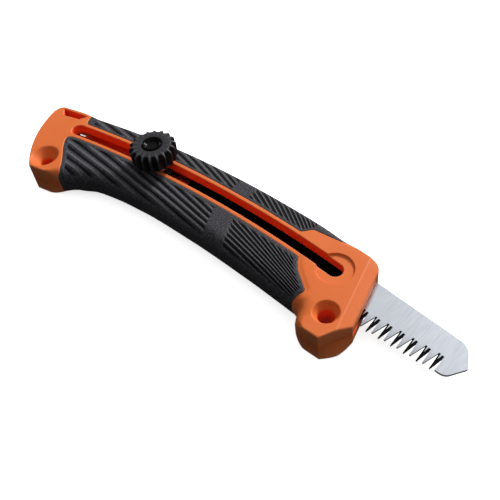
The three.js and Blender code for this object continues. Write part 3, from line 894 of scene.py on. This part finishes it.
def revolved(rings, sides, radius_of=None):
    """A closed body of revolution about the clamp's axis. rings holds (radius, height) pairs.

    A ring of radius 0 closes the end. radius_of(radius, height, angles) shapes each ring.
    """
    centre = clamp_centre()
    angles = np.arange(sides) * 2 * math.pi / sides
    vertices, starts = [], []
    for radius, height in rings:
        starts.append(len(vertices))
        if radius == 0:
            vertices.append((*centre, height))
            continue
        out = radius_of(radius, height, angles) if radius_of else np.full(sides, radius)
        for r, a in zip(out, angles):
            vertices.append((centre[0] + r * math.cos(a), centre[1] + r * math.sin(a), height))
    faces = []
    for i in range(len(rings) - 1):
        a, b = starts[i], starts[i + 1]
        for k in range(sides):
            n = (k + 1) % sides
            if rings[i][0] == 0:
                faces.append((a, b + n, b + k))
            elif rings[i + 1][0] == 0:
                faces.append((a + k, a + n, b))
            else:
                faces.append((a + k, a + n, b + n, b + k))
    return np.array(vertices), faces


def closed_ring(rings, sides, radius_of=None):
    """A ring: a profile that comes back to its start."""
    vertices, faces = revolved([*rings, rings[0]], sides, radius_of)
    count = len(rings) * sides
    return vertices[:count], [tuple(i % count for i in face) for face in faces]


KNOB_RIBS = 18
KNOB_TURN = math.radians(7.2)  # the first rib's angle
KNOB_RIB = 1.95  # how far a rib stands out
KNOB_BARREL = 8.4  # radii beyond this one are on the ribbed outside


def rib_phase(angles):
    """How far each angle is from the nearest rib's crest, as a share of the ribs' pitch."""
    return np.abs(((angles - KNOB_TURN) * KNOB_RIBS / (2 * math.pi) + 0.5) % 1 - 0.5)


def knob_radius(radius, height, angles):
    """The knob's outline at a height: a round barrel with tall ribs."""
    if radius < 6.5:
        return np.full(len(angles), radius)
    phase = rib_phase(angles)
    rib = 1 - smoothstep(phase, 0.04, 0.3)
    bevel = 1 - np.clip((height - 26.6) / 1.2, 0, 1) * 0.8
    foot = smoothstep(np.array(height), 17.4, 18.8)
    return radius + KNOB_RIB * rib * bevel * foot


def add_knob(material):
    barrel = [
        (5.1, 19.0), (5.1, 17.75), (5.3, 17.6), (8.0, 17.6), (8.5, 17.8), (8.75, 18.2), (8.95, 19.2),
        (9.1, 20.4), (9.2, 21.6), (9.3, 22.8), (9.38, 24), (9.42, 25.2), (9.45, 26.2), (9.45, 26.9),
        (9.4, 27.25), (9.25, 27.5), (9.0, 27.72), (8.7, 27.8), (5.35, 27.8), (5.15, 27.74), (5.05, 27.6),
        (5.0, 26.2), (4.5, 26.0), (4.5, 19.0),
    ]
    sides = KNOB_RIBS * 20
    angles = np.arange(sides) * 2 * math.pi / sides
    vertices, faces = closed_ring(barrel, sides, knob_radius)
    # The marks below are a painted highlight on the rib crests, stronger near the top, and a painted shade
    # between the ribs.
    crest = np.clip(1 - rib_phase(angles) / 0.12, 0, 1)
    hollow = smoothstep(rib_phase(angles), 0.2, 0.34)
    edge, painted_groove_shade = [], []
    for r, h in barrel:
        ribbed = r > KNOB_BARREL
        edge.append(crest * (0.35 + 0.65 * smoothstep(np.array(h), 25, 27.6)) if ribbed else crest * 0)
        painted_groove_shade.append(hollow * (1 - smoothstep(np.array(h), 27.3, 27.75)) if ribbed else hollow * 0)
    marks = {"edge": np.concatenate(edge), "groove": np.concatenate(painted_groove_shade)}
    make("ribbed_knob", vertices, faces, material, "knob", "knob", 40, marks)


def add_cap(material):
    rings = [
        (0, 26.35), (4.6, 26.35), (4.7, 26.45), (4.7, 28.0), (4.67, 28.12), (4.58, 28.2), (4.45, 28.2),
        (4.36, 28.12), (4.32, 27.95), (4.28, 27.7), (4.2, 27.62), (4.08, 27.66), (4.02, 27.8),
        (3.95, 27.95), (3.84, 28.0), (3.7, 27.96), (3.5, 27.8), (3.0, 27.35), (2.6, 27.05), (2.4, 26.95),
        (2.2, 26.93), (1.2, 26.91), (0.5, 26.9), (0, 26.9),
    ]
    vertices, faces = revolved(rings, 96)
    make("dished_cap", vertices, faces, material, "knob", "knob_cap", 50)


def add_washer(material):
    hole, rim, low, high = 2.8, 7.7, 16.3, 17.3
    ring = [
        (hole, low + 0.1), (hole + 0.1, low), (rim - 0.15, low), (rim, low + 0.15), (rim, high - 0.25),
        (rim - 0.07, high - 0.07), (rim - 0.25, high), (hole + 0.1, high), (hole, high - 0.1),
    ]
    vertices, faces = closed_ring(ring, 96)
    make("turned_washer", vertices, faces, material, "washer", "thrust_washer", 40)


# ---- Blade ----------------------------------------------------------------------------------

# The blade's own axes: u runs from the bolt's centre to the tip, v to the back.
BLADE_LEAN = math.radians(-3.477)
BLADE_LOW = 7.4
BLADE_HIGH = 8.6
BLADE_HOLE = 2.8
BLADE_EDGE = 0.12
BLADE_BACK = 11.1
TOOTH_LINE = -11.25
PAIR_PITCH = 5.68
PAIRS = 25
FIRST_PAIR = 19.5
TOOTH_DEPTH = 7.6
TEETH_END = 163
TAPER_FROM = 134.0
TAPER_SLOPE = 0.0465

BEVEL_SLOPE = 0.12  # the narrow slope between a bevel and the face
BEVEL_PAST = 0.15  # how far a bevel runs on past its flank
HIGH_BEVELS = {"widths": (0.62, 0.62, 0.85), "depth": 0.45}
LOW_BEVELS = {"widths": (0.6, 0.6, 0.6), "depth": 0.3}
DARK_BAND = {"start": 17, "end": 114, "side": -2.2, "fade": 0.1}  # the black band along the blade's body, in u and v


def tooth_line(u):
    return TOOTH_LINE + TAPER_SLOPE * max(0.0, u - TAPER_FROM)


def tooth_points():
    """Pairs of teeth: a narrow one ground from above, and a wide one ground from below."""
    points, above, below = [], [], []
    for pair in range(PAIRS + 1):
        u = FIRST_PAIR + pair * PAIR_PITCH
        line = tooth_line(u)
        gullet = (u + 2.4, line + TOOTH_DEPTH - 0.4)
        narrow = [(u, line + TOOTH_DEPTH), (u + 0.62, line), (u + 0.98, line), gullet]
        points += narrow
        above.append(narrow)
        if pair < PAIRS:
            tip = [(u + 3.12, line + 0.55), (u + 3.55, line + 0.55)]
            points += tip
            below.append([gullet, *tip, (u + PAIR_PITCH, line + TOOTH_DEPTH)])
    return points, above, below


def blade_outline():
    """The blade's outline in its own axes, with its tooth points."""
    points, above, below = tooth_points()
    last = FIRST_PAIR + PAIRS * PAIR_PITCH + 2.4
    outline = np.vstack([
        arr([(-5, -5.5), (14, -5.5), (17, tooth_line(0))]),
        arr(points),
        bezier((last + 0.3, -9.4), (168.2, -10.1), (169.8, -7.7), 12),
        arr([(173.3, -2.2), (173.5, -1.6), (173.3, -1.0)]),
        bezier((170, 4.8), (168.2, 6.9), (165.4, 7.6), 8),
        arr([(119, BLADE_BACK), (17, BLADE_BACK), (14, 5.5), (-5, 5.5), (-7, 3.5), (-7, -3.5)]),
    ])
    return outline, above, below


def flank_depth(p, flanks):
    """How deeply the bevels along some flanks have cut into a face at each point, from 0 to 1."""
    depth = np.zeros(len(p))
    for a, b, width in flanks:
        near = np.abs(p[:, 0] - (a[0] + b[0]) / 2) < 3.2
        if near.any():
            q = p[near] - a
            run = b - a
            length = np.linalg.norm(run)
            past = np.abs(q @ run / length - length / 2) - length / 2 - BEVEL_PAST
            side = q @ [-run[1], run[0]] / length
            away = np.max([side - width, -side, past], axis=0)
            depth[near] = np.maximum(depth[near], np.clip(1 - away / BEVEL_SLOPE, 0, 1))
    return depth


def dark_band_loop(out):
    """The loop around the blade's black band, widened."""
    start, end, side = DARK_BAND["start"] - out, DARK_BAND["end"] + out, DARK_BAND["side"] - out
    return arr([(start, side), (end, side), (end, BLADE_BACK + 1), (start, BLADE_BACK + 1)])


def flanks_of(teeth, widths):
    """The flanks of some teeth, with their bevels' widths, and the lines that bound the bevels."""
    flanks, lines = [], []
    for tooth in teeth:
        for a, b, width in zip(tooth, tooth[1:], widths):
            a, b = np.array(a), np.array(b)
            flanks.append((a, b, width))
            along = (b - a) / np.linalg.norm(b - a)
            inward = np.array([-along[1], along[0]])
            for grow in (0, BEVEL_SLOPE):
                near, far = inward * -grow, inward * (width + grow)
                start, end = a - along * (BEVEL_PAST + grow), b + along * (BEVEL_PAST + grow)
                lines.append(np.array([start + near, end + near, end + far, start + far]))
    return flanks, lines


def blade_body():
    """The blade's body. Its faces are ground away along the flanks of its teeth."""
    outline, above, below = blade_outline()
    hole = circle((0, 0), BLADE_HOLE, 32)
    high_flanks, high_lines = flanks_of(above, HIGH_BEVELS["widths"])
    low_flanks, low_lines = flanks_of(below, LOW_BEVELS["widths"])
    u = np.arange(16, 164, 0.9)
    roots = []
    for rise in (0.9, 1.8):
        v = [tooth_line(x) + TOOTH_DEPTH + rise for x in u]
        roots.append((np.column_stack([u, v]), False))
    full, half, none = (dark_band_loop(DARK_BAND["fade"] * share) for share in (0, 0.5, 1))
    lines = [outline, hole, inset(outline, BLADE_EDGE), *high_lines, *low_lines, *roots, full, none]

    def keep(p):
        return inside(p, outline) & ~inside(p, hole)

    def height(p):
        rim = np.minimum(nearest(p, outline)[0], nearest(p, hole)[0])
        ground = flank_depth(p, high_flanks)
        coat = inside(p, half).astype(float)
        tips = np.array([tooth_line(x) for x in p[:, 0]])
        # Painted shade: rises from the teeth's roots to their tips.
        tooth = (1 - smoothstep(p[:, 1] - tips, 1, TOOTH_DEPTH)) * (p[:, 0] < TEETH_END)
        fields = {"ground": ground, "coat": coat, "tooth": tooth}
        return BLADE_HIGH - quarter(rim, BLADE_EDGE) * 0.5 - HIGH_BEVELS["depth"] * ground, fields

    def underside(p):
        rim = np.minimum(nearest(p, outline)[0], nearest(p, hole)[0])
        ground = flank_depth(p, low_flanks)
        return BLADE_LOW + quarter(rim, BLADE_EDGE) * 0.5 + LOW_BEVELS["depth"] * ground

    return skin(lines, keep, height, underside)


def add_blade(material):
    vertices, faces, fields = blade_body()
    cosine, sine = math.cos(BLADE_LEAN), math.sin(BLADE_LEAN)
    turn = np.array([[cosine, -sine], [sine, cosine]])
    vertices[:, :2] = vertices[:, :2] @ turn.T + clamp_centre()
    make("toothed_blade", vertices, faces, material, "blade", "blade", 20, fields)


# ---- Assembly -------------------------------------------------------------------------------


def add_handle(plastic, rubber):
    for upper in (True, False):
        side = "top" if upper else "bottom"
        turn = (lambda body: body) if upper else (lambda body: turned_over(*body))
        shell = joined([shell_skin(upper), core_skin(BACK_ZONE, upper), core_skin(BELLY_ZONE, upper)])
        vertices, faces, fields = turn(shell)
        if not upper:
            vertices = swollen(vertices)
        node = f"{side}_shell"
        make(f"{side}_moulding", vertices, faces, plastic, "handle", node, 35, fields)
        grips = (
            ("back_grip", BACK_ZONE, BACK_RIBS, 0.9, 4, 22),
            ("belly_grip", BELLY_ZONE, BELLY_RIBS, 1.5, -30, 3),
        )
        for name, zone, ribs, margin, low, high in grips:
            vertices, faces, fields = turn(grip_skin(zone, ribs, margin, low, high))
            node = f"{side}_{name}"
            make(f"{node}_skin", vertices, faces, rubber, "handle", node, 30, fields)


def dress(node, material, bevel=0.12):
    """Gives a CAD node that keeps its shape a finish and softer edges."""
    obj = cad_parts[node]
    obj.data.materials.clear()
    obj.data.materials.append(material)
    rounded = obj.modifiers.new("edges", "BEVEL")
    rounded.width = bevel * MM
    rounded.segments = 2
    rounded.limit_method = "ANGLE"
    rounded.angle_limit = math.radians(40)


def add_camera():
    camera = bpy.data.cameras.new("camera")
    camera.sensor_width = 36
    camera.lens = 50.84
    camera.clip_start = 0.01
    camera.clip_end = 10
    obj = bpy.data.objects.new("camera", camera)
    bpy.context.scene.collection.objects.link(obj)
    right = Vector((0.7713, 0.6289, -0.0976))
    up = Vector((-0.4312, 0.6292, 0.6467))
    back = Vector((0.4681, -0.4567, 0.7565))
    place = Matrix.Translation(Vector((105.8, -150.0, 244.0)) * MM)
    obj.matrix_world = place @ Matrix((right, up, back)).transposed().to_4x4()
    bpy.context.scene.camera = obj


def add_lamp(name, place, aim, size, power):
    lamp = bpy.data.lights.new(name, "AREA")
    lamp.shape = "RECTANGLE"
    lamp.size, lamp.size_y = size
    lamp.energy = power
    obj = bpy.data.objects.new(name, lamp)
    obj.location = place
    obj.rotation_mode = "QUATERNION"
    obj.rotation_quaternion = (Vector(aim) - Vector(place)).to_track_quat("-Z", "Y")
    bpy.context.scene.collection.objects.link(obj)


SKY = {"brightest": (0.05, 0.55, 0.83), "dim": 0.07, "bright": 0.85, "full_at": 0.9}
KEY = {"azimuth": math.radians(90), "elevation": math.radians(33), "reach": 1.1, "size": 0.3, "power": 15}
FLOOR_SIDE = 3.0
FLOOR_GLOW = 0.75


def add_sky():
    """A white sky, brightest above the saw's back."""
    world = bpy.data.worlds.new("studio")
    world.use_nodes = True
    tree = world.node_tree
    place = tree.nodes.new("ShaderNodeTexCoord")
    towards = tree.nodes.new("ShaderNodeVectorMath")
    towards.operation = "DOT_PRODUCT"
    towards.inputs[1].default_value = SKY["brightest"]
    tree.links.new(place.outputs["Generated"], towards.inputs[0])
    rise = tree.nodes.new("ShaderNodeMapRange")
    rise.inputs["From Min"].default_value = 0
    rise.inputs["From Max"].default_value = SKY["full_at"]
    rise.inputs["To Min"].default_value = SKY["dim"]
    rise.inputs["To Max"].default_value = SKY["bright"]
    tree.links.new(towards.outputs["Value"], rise.inputs["Value"])
    tree.links.new(rise.outputs["Result"], tree.nodes["Background"].inputs["Strength"])
    tree.nodes["Background"].inputs["Color"].default_value = (1, 1, 1, 1)
    bpy.context.scene.world = world


def add_key():
    middle = Vector((-0.04, 0, 0))
    aside = math.cos(KEY["elevation"])
    way = Vector((
        math.cos(KEY["azimuth"]) * aside,
        math.sin(KEY["azimuth"]) * aside,
        math.sin(KEY["elevation"]),
    ))
    add_lamp("key", middle + KEY["reach"] * way, middle, (KEY["size"], KEY["size"]), KEY["power"])


def add_floor():
    """A pale floor that glows a little, and that diffuse and glossy rays pass by."""
    side = FLOOR_SIDE
    corners = [(-side, -side, 0), (side, -side, 0), (side, side, 0), (-side, side, 0)]
    mesh = bpy.data.meshes.new("floor")
    mesh.from_pydata(corners, [], [(0, 1, 2, 3)])
    floor = bpy.data.objects.new("floor", mesh)
    floor.visible_diffuse = False
    floor.visible_glossy = False
    bpy.context.scene.collection.objects.link(floor)
    paper = Finish("paper", (0.95, 0.95, 0.95), 0.8)
    paper.bump(paper.noise(800, 2), 0.02, 0.1)
    paper.shader.inputs["Emission Color"].default_value = (1, 1, 1, 1)
    paper.shader.inputs["Emission Strength"].default_value = FLOOR_GLOW
    mesh.materials.append(paper.material)


bpy.context.scene.view_settings.view_transform = "Standard"
add_camera()
add_sky()
add_key()
add_floor()
add_handle(orange_plastic(), grip_rubber())
steel = fastener_steel()
add_blade(blade_steel())
add_knob(knob_plastic())
add_cap(cap_plastic())
add_washer(steel)
fasteners = ("shell_screw_1", "shell_screw_2", "shell_screw_3", "clamp_plate", "clamp_bolt", "spring_washer")
for plain in fasteners:
    dress(plain, steel)
dress("knob_insert", insert_brass())
dress("slider", slider_plastic())
pad = pad_nylon()
dress("upper_guide_pad", pad)
dress("lower_guide_pad", pad)
